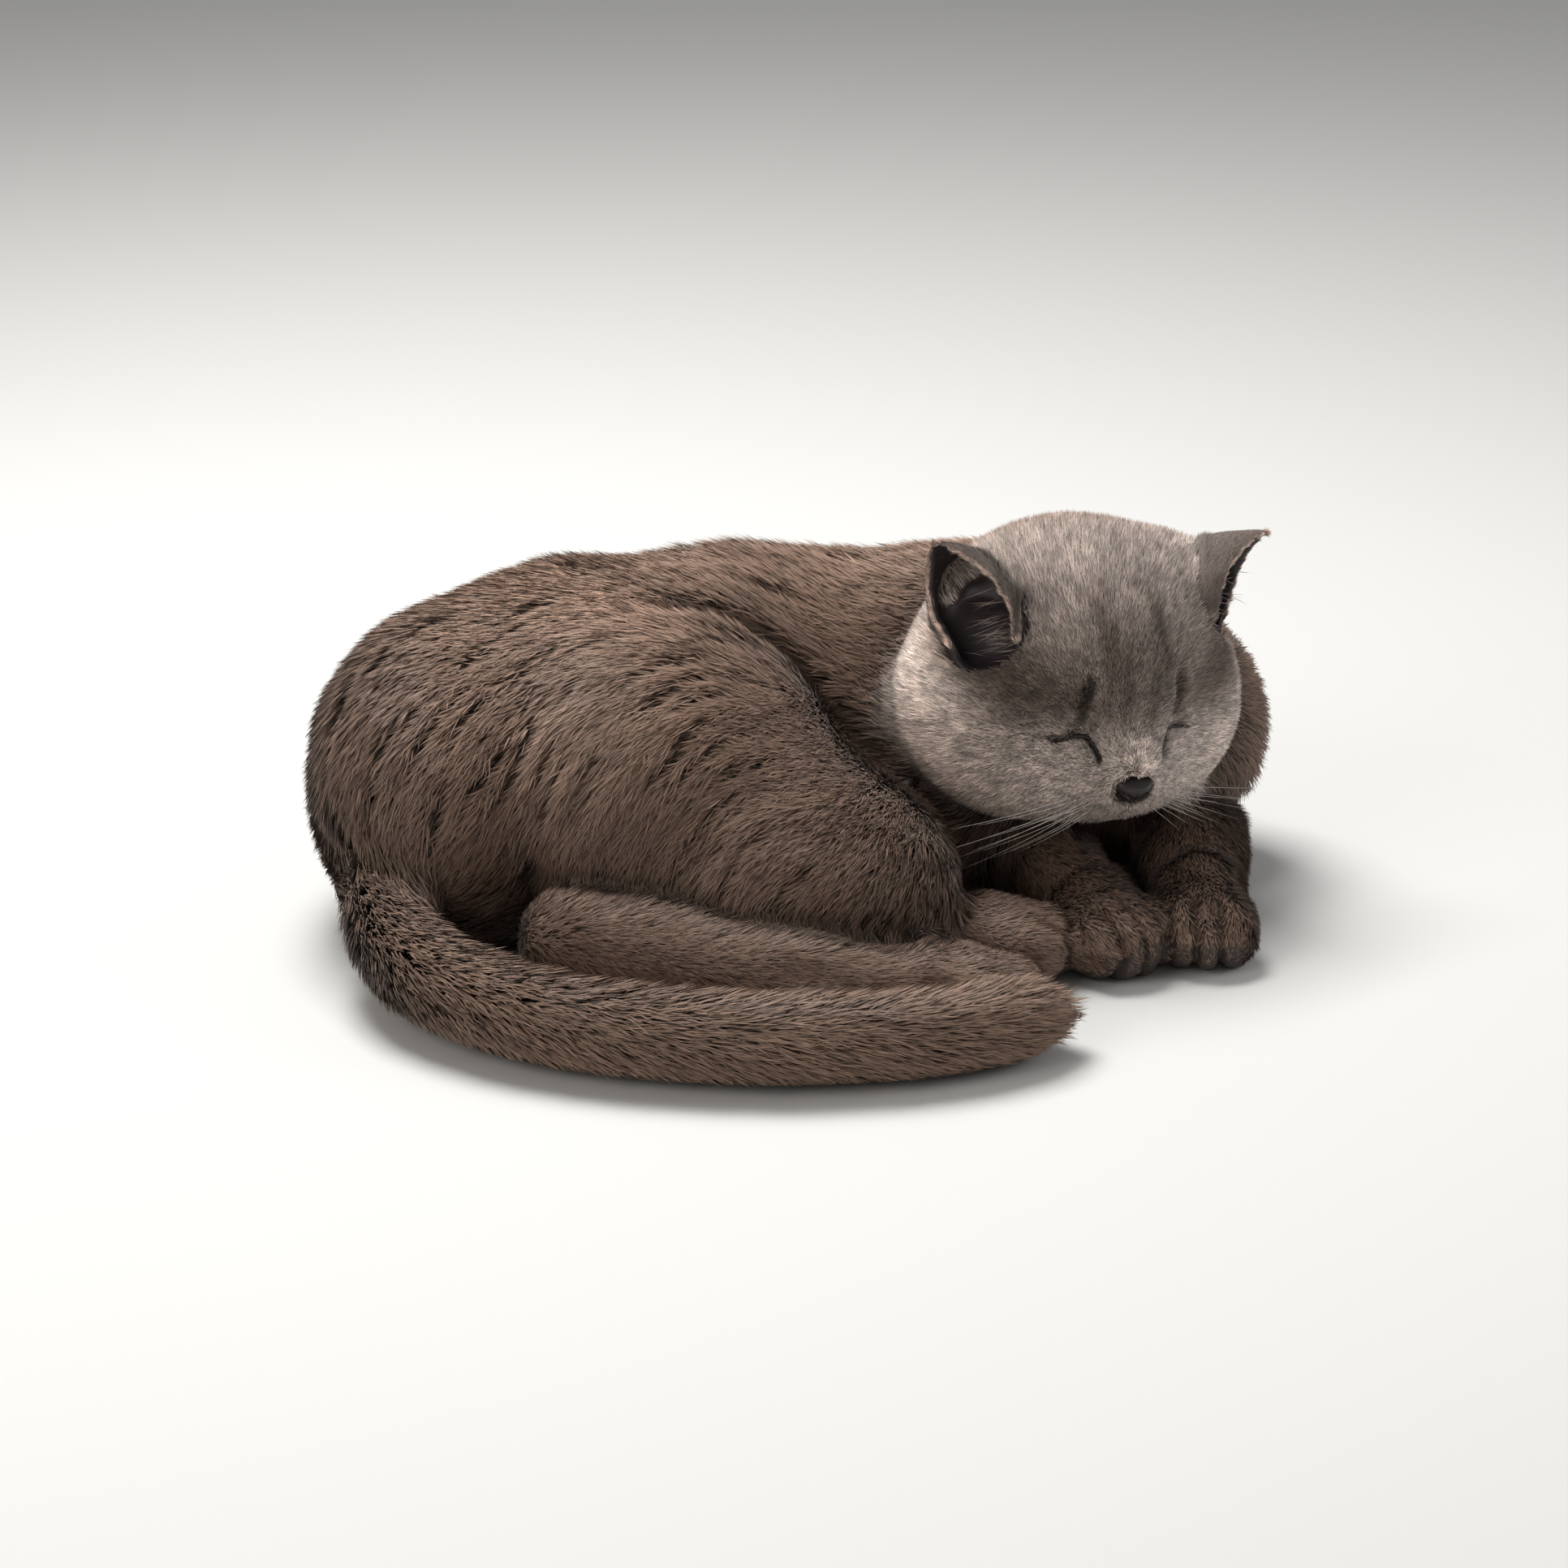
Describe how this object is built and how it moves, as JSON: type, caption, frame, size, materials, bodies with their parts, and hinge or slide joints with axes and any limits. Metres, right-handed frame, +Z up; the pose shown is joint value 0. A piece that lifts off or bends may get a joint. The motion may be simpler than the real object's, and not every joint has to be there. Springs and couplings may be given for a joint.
{
  "type": "sleeping domestic cat",
  "caption": "Life-size still model of a plush coated grey-brown domestic cat asleep, curled on its side with its head resting on its forelegs.",
  "frame": {"origin": "on the floor, under the middle of the cat's bounding box", "axes": "+X towards the head's end of the curl, -Y the side that the face, legs and tail are on, +Z up"},
  "size_m": [0.3562, 0.2732, 0.1535],
  "materials": {
    "coat": "dense soft plush coat, matt, grey-brown",
    "ears": "very short soft coat over thin skin",
    "eyelids": "very short soft coat",
    "nose": "bare, finely pebbled, slightly moist nose leather"
  },
  "bodies": {
    "root": {"head": "coat", "neck": "coat", "chest": "coat", "loin": "coat", "rump": "coat", "thigh_right": "coat", "foreleg_right": "coat", "forepaw_right": "coat", "foreleg_left": "coat", "forepaw_left": "coat", "hindfoot_right": "coat", "hindpaw_right": "coat", "hindfoot_left": "coat", "hindpaw_left": "coat", "tail_root": "coat", "tail_middle": "coat", "tail_tip": "coat", "jaw": "coat", "ear_right": "ears", "ear_left": "ears", "eyelid_right": "eyelids", "eyelid_left": "eyelids", "nose": "nose"}
  },
  "joints": []
}
